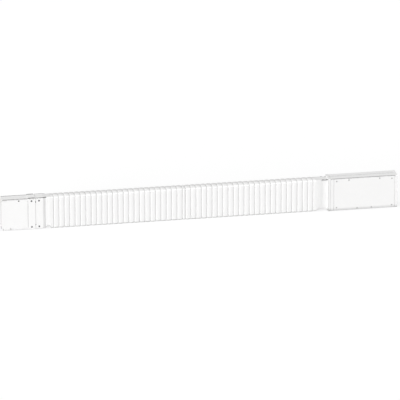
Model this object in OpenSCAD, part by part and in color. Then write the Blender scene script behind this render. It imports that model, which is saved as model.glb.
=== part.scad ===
// Flexible busway section: an end casing of four sheets, two pleated sleeves joined by a band,
// and a joint box that takes the next section's end. X runs along the section from the
// casing to the box, -Y is the cover side, and Z is up from the floor it stands on.

/* [Run] */
// Length over both ends
total_l = 1819; // [1790:1:1880]
// Depth of the trunking, front to back
trunk_d = 54; // [50:1:60]
// Height of the trunking
trunk_h = 146; // [140:1:150]
// Gap between the floor and the underside of the end casing
trunk_lift = 3; // [2:0.5:4]
// Thickness of the casing sheet
sheet_t = 1.5; // [1:0.1:2]

/* [End casing] */
// Length of the end casing
casing_l = 153.5; // [149:0.5:157]
// Bend radius on the outside of the folded sheets
bend_r = 3; // [2.5:0.5:4]
// Length of the relief in the casing's top edges, from the open end
lid_relief_l = 22.5; // [17:0.5:28]
// Distance of the locating hole from the open end
locate_x = 78; // [76:1:81]
// Diameter of the locating hole
locate_d = 7; // [5:0.5:8]
// Length of each corner notch in the underside
notch_l = 4; // [3:0.5:5]
// Height of each corner notch
notch_h = 9; // [6:0.5:10]

/* [Joint saddles] */
// Start of the first saddle, from the open end
saddle_x = 119.5; // [117.5:0.5:121.5]
// Width of each saddle along the run
saddle_w = 33.8; // [32:0.1:34.5]
// Gap between the two saddles
saddle_gap = 1.8; // [1.5:0.1:3]
// Thickness of the saddle sheet
saddle_t = 2; // [1.5:0.1:2.5]
// Distance between the upper and lower saddle screws
saddle_screw_pitch = 124; // [116:1:128]

/* [Pleated sleeves] */
// Folds in each sleeve
pleats = 25; // [20:1:25]
// Length of one fold
pleat_pitch = 24.56; // [24.3:0.01:24.7]
// Depth of a fold
pleat_depth = 4; // [3:0.5:5]
// Depth of the sleeve, front to back
sleeve_d = 56; // [54:0.5:58]
// Height of the sleeve
sleeve_h = 151; // [149:0.5:152]
// Radius of the sleeve's long edges
sleeve_r = 6.5; // [6:0.5:8]
// Wall of the sleeve
sleeve_t = 1.6; // [1.2:0.1:2]
// Start of the first sleeve, from the open end
sleeve_x = 224.2; // [223.5:0.1:225]

/* [Joint box] */
// Length of the joint box
box_l = 321; // [316:0.5:325]
// Depth of the joint box from the cover's shell to the back wall
box_d = 68.5; // [67:0.5:74]
// Height of the joint box
box_h = 156; // [154:0.5:160]
// Length of the cover plate
cover_l = 282; // [277:1:284]
// Height of the cover plate
cover_h = 148.5; // [147:0.5:149]
// Radius of the joint box's lower long edges
box_foot_r = 3; // [2.5:0.5:5]
// Clearance round the next section's casing in the mouth
mouth_gap = 1; // [0.5:0.1:1.5]

/* [Conductors] */
// Number of live conductors
poles = 4; // [3:1:4]
// Distance between neighbouring conductors
pole_pitch = 30; // [28:0.5:31]
// Width of a conductor
bar_w = 30; // [24:1:32]
// Thickness of a conductor
bar_t = 5; // [4:0.5:6]

/* [Hidden] */
$fn = 48;
saddle_screws = 8;
cover_screws = 8;

trunk_top = trunk_lift + trunk_h;
trunk_mid = trunk_lift + trunk_h / 2;
trunk_hd = trunk_d / 2;
gasket_t = 2.2;
wall_top = trunk_top - sheet_t - gasket_t;
locate_z = trunk_top - 8.5;
notch_at = [4, 37.5];
lid_relief_h = 1.5;
seam_z = trunk_lift + bend_r;
lid_lip_h = 10;
box_x = total_l - box_l;
box_front_y = -36.5;
box_back_y = box_front_y + box_d;
box_t = 1.5;
lip_t = 1;
lip_w = 9.5;
cover_t = 1.5;
seal_t = 0.8;
cover_head_h = 1.5;
cover_x = box_x + 25.5;
cover_mid_x = cover_x + cover_l / 2;
cover_z = 3;
seam_y = 1;
seam_w = 2;
sleeve_mid = sleeve_h / 2;
crown = 0.9;
cuff_drop = 0.8;
lip_drop = 2.2;
fold_half_w = 2.3;
end_flat = 12.4;
meet_flat = 7.2;
sleeve_run = end_flat + (pleats - 1) * pleat_pitch + meet_flat;
meet_x = sleeve_x + sleeve_run;
sleeve_end = meet_x + sleeve_run;

// Height of one conductor's middle.
function pole_z(i) = trunk_mid + (i - (poles + 1) / 2) * pole_pitch;

// How far the cover's screw heads and the rear lips stand out from the trunking's middle.
cover_reach = seal_t + cover_t + cover_head_h - box_front_y;
back_reach = box_back_y + lip_t;

// Moves a piece from the trunking's own axes to the frame, which is centred on the whole.
module on_run() {
    translate([-total_l / 2, (cover_reach - back_reach) / 2, 0]) children();
}

// A block between two corners.
module block(lo, hi) {
    translate(lo) cube(hi - lo);
}

// A rectangle with round corners, centred on the origin.
module round_rect(w, h, r) {
    square([w - 2 * r, h], center = true);
    square([w, h - 2 * r], center = true);
    for (sx = [-1, 1], sy = [-1, 1])
        translate([sx * (w / 2 - r), sy * (h / 2 - r)]) circle(r);
}

// A prism along X whose section has depth d, height h and corner radius r.
module round_prism(x0, x1, d, h, r, zc) {
    translate([x0, 0, zc]) rotate([90, 0, 90]) linear_extrude(x1 - x0) round_rect(d, h, r);
}

// A tube-like form whose plan and side view are both polygons: their common solid.
module plan_and_side(plan, side, reach) {
    intersection() {
        translate([0, 0, -reach]) linear_extrude(4 * reach) polygon(plan);
        translate([0, reach, 0]) rotate([90, 0, 0]) linear_extrude(2 * reach) polygon(side);
    }
}

/* ---- end casing ---- */

module casing_notches() {
    for (x = notch_at, s = [-1, 1])
        block([x, s < 0 ? -trunk_hd - 1 : trunk_hd - 6, trunk_lift - 1],
              [x + notch_l, s < 0 ? -trunk_hd + 6 : trunk_hd + 1, trunk_lift + notch_h]);
}

// The sheet all round the casing, with its notches and holes.
module casing_skin() {
    difference() {
        round_prism(0, casing_l, trunk_d, trunk_h, bend_r, trunk_mid);
        round_prism(-1, casing_l + 1, trunk_d - 2 * sheet_t, trunk_h - 2 * sheet_t,
                    bend_r - sheet_t, trunk_mid);
        casing_notches();
        translate([locate_x, trunk_d, locate_z])
            rotate([90, 0, 0]) cylinder(d = locate_d, h = 2 * trunk_d);
        saddle_screw_holes(0);
        tool_slots();
    }
}

// Flat side sheet, from the floor sheet's bend up to the gap under the lid.
module casing_wall(side) {
    y0 = side < 0 ? -trunk_d : 0;
    color("whitesmoke") on_run() difference() {
        intersection() {
            casing_skin();
            block([-1, y0, seam_z], [casing_l + 1, y0 + trunk_d, wall_top]);
        }
        block([-1, -trunk_d, wall_top - lid_relief_h], [lid_relief_l, trunk_d, trunk_top]);
    }
}

// Floor sheet with its two long edges bent up to the side sheets.
module casing_floor() {
    color("whitesmoke") on_run() intersection() {
        casing_skin();
        block([-1, -trunk_d, 0], [casing_l + 1, trunk_d, seam_z]);
    }
}

module casing_lid(inner_lip_x = 89) {
    inner = trunk_hd - sheet_t;
    color("whitesmoke") on_run() {
        intersection() {
            round_prism(0, casing_l, trunk_d, trunk_h, bend_r, trunk_mid);
            block([-1, -trunk_hd, trunk_top - sheet_t], [casing_l + 1, trunk_hd, trunk_top]);
        }
        for (s = [-1, 1])
            block([inner_lip_x, s < 0 ? -inner : inner - sheet_t, trunk_top - lid_lip_h],
                  [saddle_x, s < 0 ? sheet_t - inner : inner, trunk_top - sheet_t]);
    }
}

// Sealing strip between the lid and the top edge of one wall.
module lid_gasket(side) {
    outer = trunk_hd - 0.4;
    inner = trunk_hd - sheet_t;
    color("dimgray") on_run()
        block([lid_relief_l, side < 0 ? -outer : inner, wall_top],
              [casing_l, side < 0 ? -inner : outer, wall_top + gasket_t]);
}

// Moulded insulator that holds the bars; its rear wall closes the casing up to the lid.
module contact_carrier(x0 = 54.5, x1 = 114.5, rear_t = 20, top_gap = 12) {
    inner = trunk_hd - sheet_t;
    color("ivory") on_run() difference() {
        union() {
            block([x0, -inner, trunk_lift + sheet_t], [x1, inner, wall_top - top_gap]);
            block([x1 - rear_t, -inner, trunk_mid], [x1, inner, trunk_top - lid_lip_h]);
            block([x1 - rear_t, sheet_t - inner, trunk_mid], [x1, inner - sheet_t, trunk_top - sheet_t]);
        }
        for (i = [1:poles])
            block([x0 - 1, -bar_w / 2, pole_z(i) - bar_t / 2],
                  [x1 + 1, bar_w / 2, pole_z(i) + bar_t / 2]);
        for (i = [1:poles - 1])
            block([x0 - 1, -trunk_hd, pole_z(i) + pole_pitch / 2 - 3],
                  [x0 + 12, trunk_hd, pole_z(i) + pole_pitch / 2 + 3]);
    }
}

// Bar with a chamfered tip, so that it enters the next section's jaw.
module contact_bar(i, x0 = 23.5, x1 = 218, tip = 1.5) {
    ht = bar_t / 2;
    color("goldenrod") on_run() translate([0, bar_w / 2, pole_z(i)]) rotate([90, 0, 0])
        linear_extrude(bar_w)
            polygon([[x0, tip - ht], [x0 + 2 * tip, -ht], [x1, -ht], [x1, ht], [x0 + 2 * tip, ht],
                     [x0, ht - tip]]);
}

/* ---- saddles that clamp the casing and the neck ---- */

// Distances of the saddle screws along the run.
function saddle_mid(k) = saddle_x + saddle_w / 2 + k * (saddle_w + saddle_gap);
function saddle_screw_x(k) = saddle_mid(k) + (k == 0 ? -1 : -3);

module saddle_screw_holes(k, d = 4.2) {
    for (s = [-1, 1])
        translate([saddle_screw_x(k), trunk_d, trunk_mid + s * saddle_screw_pitch / 2])
            rotate([90, 0, 0]) cylinder(d = d, h = 2 * trunk_d);
}

// A folded sheet over the top and both sides, with relief slots along its bends.
module saddle(k) {
    x0 = saddle_mid(k) - saddle_w / 2;
    x1 = x0 + saddle_w;
    slot_h = 4;
    tab = 4;
    outer_r = bend_r + saddle_t;
    color("white") on_run() difference() {
        round_prism(x0, x1, trunk_d + 2 * saddle_t, trunk_h + 2 * saddle_t, outer_r, trunk_mid);
        round_prism(x0 - 1, x1 + 1, trunk_d, trunk_h, bend_r, trunk_mid);
        block([x0 - 1, -trunk_d, 0], [x1 + 1, trunk_d, trunk_lift + 1]);
        block([x0 + tab, -trunk_d, trunk_top - slot_h], [x1 - tab, trunk_d, trunk_top]);
        saddle_screw_holes(k);
        tool_slots();
    }
}

// Slots across the gap between the saddles, for the tool that draws them together.
module tool_slots(w = 3.6, h = 10, deep = 5) {
    gap_x = saddle_mid(0) + (saddle_w + saddle_gap) / 2;
    for (up = [-1, 1], side = [-1, 1])
        translate([gap_x, side * trunk_hd, trunk_mid + up * (saddle_screw_pitch / 2 - 5)])
            cube([w, 2 * deep, h], center = true);
}

module pan_screw(head_d = 8, head_h = 2, shank_d = 4, shank_l = 8) {
    cylinder(d = shank_d, h = shank_l);
    translate([0, 0, -head_h]) difference() {
        cylinder(d = head_d, h = head_h);
        for (a = [0, 90])
            rotate(a) translate([-2, -0.4, -1]) cube([4, 0.8, 2]);
    }
}

// Screws 1 to 4 are on the front, 5 to 8 on the back.
module saddle_screw(n) {
    k = (n - 1) % 2;
    up = floor((n - 1) / 2) % 2 == 0 ? 1 : -1;
    front = n <= saddle_screws / 2;
    color("gray") on_run()
        translate([saddle_screw_x(k), (front ? -1 : 1) * (trunk_hd + saddle_t),
                   trunk_mid + up * saddle_screw_pitch / 2])
            rotate([front ? -90 : 90, 0, 0]) pan_screw(shank_l = saddle_t + sheet_t);
}

/* ---- necks between the sheet metal and the sleeves ---- */

neck_bore_d = 41;
neck_bore_z0 = 15.5;
neck_bore_z1 = 137;
neck_waist_d = 46;
neck_floor = 11;
spigot_l = 10;
reach = 200;
sleeve_in_d = sleeve_d - 2 * (cuff_drop + sleeve_t);
sleeve_in_h = sleeve_h - 2 * (cuff_drop + sleeve_t);
sleeve_in_r = sleeve_r - cuff_drop - sleeve_t + 1;

module neck_bore(x0, x1) {
    round_prism(x0, x1, neck_bore_d, neck_bore_z1 - neck_bore_z0, 8,
                (neck_bore_z0 + neck_bore_z1) / 2);
}

// The groove under its top edges runs from the joint to just past the waist.
module neck_left(groove_h = 2.4, groove_d = 3.8, groove_top = 147.8) {
    socket_x = saddle_x + 1;
    body_x = saddle_mid(1) + saddle_w / 2;
    waist_x = body_x + 11.8;
    waist_hd = neck_waist_d / 2;
    color("whitesmoke") on_run() difference() {
        union() {
            round_prism(socket_x, casing_l, trunk_d - 2 * sheet_t, trunk_h - 2 * sheet_t,
                        bend_r - sheet_t, trunk_mid);
            round_prism(casing_l, body_x, trunk_d, trunk_h, bend_r, trunk_mid);
            intersection() {
                plan_and_side(
                    [[body_x, -trunk_hd], [waist_x, -waist_hd],
                     [sleeve_x, cuff_drop - sleeve_d / 2], [sleeve_x, sleeve_d / 2 - cuff_drop],
                     [waist_x, waist_hd], [body_x, trunk_hd]],
                    [[body_x, trunk_lift], [waist_x + 2, trunk_lift + 2],
                     [waist_x + 7, neck_floor], [sleeve_x - 4, neck_floor], [sleeve_x - 2, 4],
                     [sleeve_x, 4], [sleeve_x, sleeve_h], [body_x, sleeve_h]],
                    reach);
                round_prism(body_x, sleeve_x, sleeve_d, sleeve_h, sleeve_r - 3, sleeve_mid);
            }
            round_prism(sleeve_x - 1, sleeve_x + spigot_l, sleeve_in_d, sleeve_in_h, sleeve_in_r, sleeve_mid);
        }
        neck_bore(socket_x - 1, sleeve_x + spigot_l + 1);
        saddle_screw_holes(1);
        tool_slots();
        for (s = [-1, 1])
            translate([0, 0, groove_top - groove_h]) linear_extrude(groove_h)
                polygon([[casing_l - 1, s * 60], [casing_l - 1, s * (trunk_hd - groove_d)],
                         [body_x, s * (trunk_hd - groove_d)], [waist_x, s * (waist_hd - groove_d)],
                         [waist_x + 8.5, s * (waist_hd + 2)], [waist_x + 8.5, s * 60]]);
    }
}

// The groove under its top edges is where the two halves of the mould met.
module neck_right(groove_h = 3.2, groove_d = 3.8) {
    waist_x = sleeve_end + 14;
    waist_hd = 23.5;
    root_hd = 24.5;
    top = 150;
    groove_top = top - 1.5;
    color("whitesmoke") on_run() difference() {
        union() {
            plan_and_side(
                [[sleeve_end, cuff_drop - sleeve_d / 2], [waist_x, -waist_hd], [box_x, -root_hd],
                 [box_x, root_hd], [waist_x, waist_hd], [sleeve_end, sleeve_d / 2 - cuff_drop]],
                [[sleeve_end, 3], [sleeve_end + 3, 3], [waist_x, neck_floor],
                 [waist_x + 13, neck_floor - 2.5], [box_x, 3], [box_x, top], [sleeve_end, top]],
                reach);
            round_prism(sleeve_end - spigot_l, sleeve_end + 1, sleeve_in_d, sleeve_in_h, sleeve_in_r,
                        sleeve_mid);
        }
        neck_bore(sleeve_end - spigot_l - 1, box_x + 1);
        for (s = [-1, 1])
            translate([0, 0, groove_top - groove_h]) linear_extrude(groove_h)
                polygon([[waist_x - 6.5, s * 60], [waist_x - 6.5, s * (waist_hd + 1)],
                         [waist_x, s * (waist_hd - groove_d)], [box_x + 1, s * (root_hd - groove_d)],
                         [box_x + 1, s * 60]]);
    }
}

/* ---- pleated sleeves ---- */

// Outline of the folds: distance along the sleeve against height above the crests.
// Each fold is a shallow crown between two narrow valleys.
function fold_line() = concat(
    [[-cuff_drop, 0], [-cuff_drop, end_flat - fold_half_w]],
    [for (i = [0:pleats - 1])
        let (v = end_flat + i * pleat_pitch)
        each [[-pleat_depth, v],
              if (i < pleats - 1) [-crown, v + fold_half_w],
              if (i < pleats - 1) [0, v + 0.36 * pleat_pitch],
              if (i < pleats - 1) [0, v + 0.64 * pleat_pitch],
              if (i < pleats - 1) [-crown, v + pleat_pitch - fold_half_w]]],
    [[-lip_drop, sleeve_run - meet_flat + fold_half_w], [-lip_drop, sleeve_run]]
);

// The same line moved in by the wall closes the strip that makes the sleeve's skin.
function fold_strip(r) = concat(
    [for (p = fold_line()) [r + p[0], p[1]]],
    [for (i = [len(fold_line()) - 1:-1:0]) [r + fold_line()[i][0] - sleeve_t, fold_line()[i][1]]]
);

// A strip carried round a rectangle with round corners: four flats and four turned corners.
module carried_round(w, d, r) {
    strip = fold_strip(r);
    runs = [d - 2 * r, w - 2 * r, d - 2 * r, w - 2 * r];
    corners = [[1, 1], [-1, 1], [-1, -1], [1, -1]];
    for (k = [0:3])
        translate([corners[k][0] * (w / 2 - r), corners[k][1] * (d / 2 - r), 0]) rotate(90 * k) {
            rotate_extrude(angle = 90) polygon(strip);
            rotate([90, 0, 0]) linear_extrude(runs[k]) polygon(strip);
        }
}

module sleeve() {
    rotate([0, 90, 0]) carried_round(sleeve_h, sleeve_d, sleeve_r);
}

module sleeve_left() {
    color("snow") on_run() translate([sleeve_x, 0, sleeve_mid]) sleeve();
}

module sleeve_right() {
    color("snow") on_run() translate([sleeve_end, 0, sleeve_mid]) mirror([1, 0, 0]) sleeve();
}

// Band over the meeting lips of the two sleeves.
module joining_band(band_w = 8.5) {
    lip_d = sleeve_d - 2 * lip_drop;
    lip_h = sleeve_h - 2 * lip_drop;
    color("white") on_run() difference() {
        round_prism(meet_x - band_w / 2, meet_x + band_w / 2, sleeve_d, sleeve_h, sleeve_r, sleeve_mid);
        round_prism(meet_x - band_w, meet_x + band_w, lip_d, lip_h, sleeve_r - lip_drop - 1, sleeve_mid);
    }
}

/* ---- conductors inside ---- */

link_w = 28;
link_t = 6;
link_x0 = 169;
link_x1 = box_x + 84.5;

module flexible_link(i) {
    z = pole_z(i) + bar_t / 2;
    color("peru") on_run() block([link_x0, -link_w / 2, z], [link_x1, link_w / 2, z + link_t]);
}

// Braid that carries the earth from the casing floor to the box floor.
module earth_braid(w = 20, t = 3, z = 16.5) {
    near_floor = trunk_lift + sheet_t;
    far_floor = shell_z0 + box_t;
    x0 = saddle_x - t;
    x1 = box_x + 17;
    x2 = jaw_carrier_x0 - 2;
    color("peru") on_run() translate([0, w / 2, 0]) rotate([90, 0, 0]) linear_extrude(w)
        polygon([[x0, near_floor], [x0 + t, near_floor], [x0 + t, z], [x1, z], [x1, far_floor],
                 [x2, far_floor], [x2, far_floor + t], [x1 + t, far_floor + t],
                 [x1 + t, z + t], [x0, z + t]]);
}

/* ---- joint box ---- */

mouth_w = trunk_d + 2 * mouth_gap;
mouth_h = trunk_h + 2 * mouth_gap;
shell_x0 = box_x + 2;
shell_x1 = total_l - 2;
shell_z0 = lip_t;
shell_z1 = box_h - lip_t;
box_top_r = 1.8;
window_rim = 12;

// Distances along the run and heights of the eight cover screws.
cover_screw_at = [
    [cover_x + 12, cover_z + cover_h - 8], [cover_mid_x - 72, cover_z + cover_h - 4.5],
    [cover_mid_x + 71, cover_z + cover_h - 4.5], [cover_x + cover_l - 13, cover_z + cover_h - 9],
    [cover_x + 12, cover_z + 13], [cover_mid_x - 33, cover_z + 6.5],
    [cover_mid_x + 34, cover_z + 6.5], [cover_x + cover_l - 13, cover_z + 11]
];

module cover_screw_holes(d = 4.2) {
    for (p = cover_screw_at)
        translate([p[0], box_front_y + 20, p[1]]) rotate([90, 0, 0]) cylinder(d = d, h = 40);
}

// Prism along X with the joint box's section: small bends at the top, a wide radius at the
// foot. A positive grow moves every side out.
module box_prism(x0, x1, grow = 0) {
    y0 = box_front_y - grow;
    y1 = box_back_y + grow;
    z0 = shell_z0 - grow;
    z1 = shell_z1 + grow;
    rt = box_top_r + grow;
    rb = box_foot_r + grow;
    translate([x0, 0, 0]) rotate([90, 0, 90]) linear_extrude(x1 - x0) {
        translate([y0 + rb, z0]) square([y1 - y0 - 2 * rb, z1 - z0]);
        translate([y0 + rt, z0 + rb]) square([y1 - y0 - 2 * rt, z1 - z0 - rb]);
        translate([y0, z0 + rb]) square([y1 - y0, z1 - z0 - rb - rt]);
        for (y = [y0 + rb, y1 - rb])
            translate([y, z0 + rb]) circle(rb);
        for (y = [y0 + rt, y1 - rt])
            translate([y, z1 - rt]) circle(rt);
    }
}

// Folded channel that makes the front, with a window behind the cover.
module box_front() {
    color("whitesmoke") on_run() difference() {
        box_prism(shell_x0, shell_x1);
        box_prism(shell_x0 - 1, shell_x1 + 1, -box_t);
        block([shell_x0 - 1, seam_y - seam_w / 2, -1], [shell_x1 + 1, box_back_y + 1, box_h]);
        block([cover_x + window_rim + 10, box_front_y - 1, cover_z + window_rim + 8],
              [cover_x + cover_l - window_rim - 10, box_front_y + 5, cover_z + cover_h - window_rim - 6]);
        cover_screw_holes();
    }
}

// Folded channel that makes the back. It butts against the front channel underneath, and
// at the top its joggled lip reaches under the front channel and leaves a groove.
module box_back(joggle = 8) {
    color("whitesmoke") on_run() {
        difference() {
            box_prism(shell_x0, shell_x1);
            box_prism(shell_x0 - 1, shell_x1 + 1, -box_t);
            block([shell_x0 - 1, box_front_y - 1, -1], [shell_x1 + 1, seam_y + seam_w / 2, box_h]);
        }
        block([shell_x0, seam_y - seam_w / 2, shell_z0],
              [shell_x1, seam_y + seam_w, shell_z0 + box_t]);
        block([shell_x0, seam_y - joggle, shell_z1 - 2 * box_t],
              [shell_x1, seam_y + joggle, shell_z1 - box_t]);
    }
}

// End cap: a plate closed against the shells' ends, with a lip round the outside.
module box_end_blank(x_plate, x_lip) {
    box_prism(x_plate, x_plate + 2, lip_t);
    difference() {
        box_prism(x_lip, x_lip + lip_w, lip_t);
        box_prism(x_lip - 1, x_lip + lip_w + 1);
    }
}

module box_end_left() {
    color("whitesmoke") on_run() difference() {
        box_end_blank(box_x, box_x);
        neck_bore(box_x - 1, box_x + 3);
        rivet_hole(box_x + lip_w / 2 + 1, 98);
    }
}

module box_end_right() {
    color("whitesmoke") on_run() difference() {
        box_end_blank(total_l - 2, total_l - lip_w);
        block([total_l - 3, -mouth_w / 2, trunk_mid - mouth_h / 2],
              [total_l + 1, mouth_w / 2, trunk_mid + mouth_h / 2]);
        rivet_hole(total_l - lip_w / 2 - 1, box_h / 2);
    }
}

// Rubber seal behind the cover; a strip along its top runs from cap to cap above the cover.
module cover_gasket(band = 5, inset = 0.6, over = 3.3, cap_gap = 1) {
    front = box_front_y - seal_t;
    color("dimgray") on_run() difference() {
        union() {
            block([cover_x + inset, front, cover_z + inset],
                  [cover_x + cover_l - inset, box_front_y, cover_z + cover_h - 1]);
            block([box_x + lip_w + cap_gap, front, cover_z + cover_h - 1],
                  [total_l - lip_w - cap_gap, box_front_y, cover_z + cover_h + over]);
        }
        block([cover_x + window_rim + band, front - 1, cover_z + window_rim + band],
              [cover_x + cover_l - window_rim - band, box_front_y + 1,
               cover_z + cover_h - window_rim - band]);
        cover_screw_holes();
    }
}

module cover_plate() {
    color("white") on_run() difference() {
        block([cover_x, box_front_y - seal_t - cover_t, cover_z],
              [cover_x + cover_l, box_front_y - seal_t, cover_z + cover_h]);
        cover_screw_holes();
    }
}

module cover_screw(n) {
    color("gray") on_run()
        translate([cover_screw_at[n - 1][0], box_front_y - seal_t - cover_t, cover_screw_at[n - 1][1]])
            rotate([-90, 0, 0]) pan_screw(head_d = 7, head_h = cover_head_h, shank_l = cover_t + seal_t + box_t);
}

module rivet_hole(x, z, d = 4) {
    translate([x, box_front_y + 5, z]) rotate([90, 0, 0]) cylinder(d = d, h = 10);
}

module rivet(x, z) {
    color("gray") on_run() translate([x, box_front_y, z]) rotate([90, 0, 0]) {
        cylinder(d = 3.8, h = lip_t);
        translate([0, 0, lip_t]) cylinder(d1 = 6.4, d2 = 4, h = 0.8);
    }
}

/* ---- joint block inside the box ---- */

jaw_carrier_x0 = box_x + 58;
jaw_carrier_x1 = box_x + 193;
jaw_end = box_x + 240;
jaw_leaf_x = jaw_carrier_x0 + 56;
jaw_leaf_t = 2.5;

// Moulded insulator that fills the box's section and holds the links' ends and the jaws.
module jaw_carrier(rib_gap = 6, rib_depth = 20) {
    color("ivory") on_run() difference() {
        box_prism(jaw_carrier_x0, jaw_carrier_x1, -box_t);
        block([jaw_carrier_x0 - 1, box_front_y, shell_z1 - 2 * box_t],
              [jaw_carrier_x1 + 1, box_back_y, shell_z1]);
        for (i = [1:poles]) {
            block([jaw_carrier_x0 - 1, -bar_w / 2, pole_z(i) - bar_t / 2],
                  [jaw_leaf_x, bar_w / 2, pole_z(i) + bar_t / 2 + link_t]);
            block([jaw_leaf_x, -bar_w / 2, pole_z(i) - bar_t / 2 - jaw_leaf_t],
                  [jaw_carrier_x1 + 1, bar_w / 2, pole_z(i) + bar_t / 2 + jaw_leaf_t]);
        }
        for (i = [1:poles - 1])
            block([jaw_carrier_x1 - rib_depth, -trunk_hd, pole_z(i) + (pole_pitch - rib_gap) / 2],
                  [jaw_carrier_x1 + 1, trunk_hd, pole_z(i) + (pole_pitch + rib_gap) / 2]);
    }
}

// A copper tail under the link that ends in two spring leaves round the next bar.
module jaw(i, throat = 45) {
    color("goldenrod") on_run() difference() {
        union() {
            block([jaw_carrier_x0, -bar_w / 2, pole_z(i) - bar_t / 2],
                  [jaw_leaf_x, bar_w / 2, pole_z(i) + bar_t / 2]);
            block([jaw_leaf_x, -bar_w / 2, pole_z(i) - bar_t / 2 - jaw_leaf_t],
                  [jaw_end, bar_w / 2, pole_z(i) + bar_t / 2 + jaw_leaf_t]);
        }
        block([jaw_end - throat, -bar_w, pole_z(i) - bar_t / 2],
              [jaw_end + 1, bar_w, pole_z(i) + bar_t / 2]);
    }
}

casing_wall(-1);  // casing_front
casing_wall(1);  // casing_back
casing_floor();
casing_lid();
lid_gasket(-1);  // lid_gasket_front
lid_gasket(1);  // lid_gasket_back
contact_carrier();
for (i = [1:poles]) {
    contact_bar(i);
    flexible_link(i);
    jaw(i);
}
saddle(0);  // saddle_left
saddle(1);  // saddle_right
for (i = [1:saddle_screws])
    saddle_screw(i);
neck_left();
sleeve_left();
joining_band();
sleeve_right();
neck_right();
earth_braid();
box_front();
box_back();
box_end_left();
box_end_right();
cover_gasket();
cover_plate();
for (i = [1:cover_screws])
    cover_screw(i);
rivet(box_x + lip_w / 2 + 1, 98);  // rivet_left
rivet(total_l - lip_w / 2 - 1, box_h / 2);  // rivet_right
jaw_carrier();
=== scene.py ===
"""Looks of a flexible busway section: end casing, pleated sleeves and joint box.

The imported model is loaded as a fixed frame. Lengths are in metres, apart from the tables
of stations and of rows, which are in millimetres. Places are worked out from the boxes of
the frame's nodes, and sizes are dataclass fields of the piece that they shape.
"""

import logging
import math
from collections.abc import Callable
from dataclasses import dataclass
from enum import StrEnum, auto

import bmesh
import bpy
import numpy as np
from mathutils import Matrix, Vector

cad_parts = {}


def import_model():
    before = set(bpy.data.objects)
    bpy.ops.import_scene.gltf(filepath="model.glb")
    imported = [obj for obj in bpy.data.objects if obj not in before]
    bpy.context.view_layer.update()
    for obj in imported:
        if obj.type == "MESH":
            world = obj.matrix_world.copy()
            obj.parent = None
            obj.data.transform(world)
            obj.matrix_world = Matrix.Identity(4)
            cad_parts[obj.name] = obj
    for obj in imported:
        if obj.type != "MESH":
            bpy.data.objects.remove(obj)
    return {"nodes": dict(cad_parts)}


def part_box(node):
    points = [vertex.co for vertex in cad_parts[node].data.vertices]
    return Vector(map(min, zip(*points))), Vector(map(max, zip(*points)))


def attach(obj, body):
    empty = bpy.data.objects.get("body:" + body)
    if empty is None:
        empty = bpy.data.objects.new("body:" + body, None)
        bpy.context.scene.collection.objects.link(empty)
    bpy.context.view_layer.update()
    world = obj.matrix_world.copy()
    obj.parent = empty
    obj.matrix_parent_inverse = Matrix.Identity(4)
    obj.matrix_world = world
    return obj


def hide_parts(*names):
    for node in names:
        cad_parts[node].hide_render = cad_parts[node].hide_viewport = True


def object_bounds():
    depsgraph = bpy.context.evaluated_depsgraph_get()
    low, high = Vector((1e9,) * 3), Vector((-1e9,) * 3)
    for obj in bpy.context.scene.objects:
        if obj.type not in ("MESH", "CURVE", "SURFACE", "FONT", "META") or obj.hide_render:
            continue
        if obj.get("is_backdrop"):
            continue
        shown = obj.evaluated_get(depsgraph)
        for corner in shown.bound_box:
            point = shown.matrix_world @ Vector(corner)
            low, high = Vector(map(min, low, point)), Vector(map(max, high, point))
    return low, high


MM = 0.001
POLE_MERGE = 0.001 * MM
CLOUD = (0.3, 0.7)
BODY = "root"
Pair = tuple[float, float]
Triple = tuple[float, float, float]
Quad = tuple[float, float, float, float]
Stations = tuple[tuple[float, float, float, float, float], ...]
Nodes = dict[str, bpy.types.Object]
Node = bpy.types.Node
Socket = bpy.types.NodeSocket
Array = np.ndarray
log = logging.getLogger("busway")


# ---- shader helpers


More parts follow.
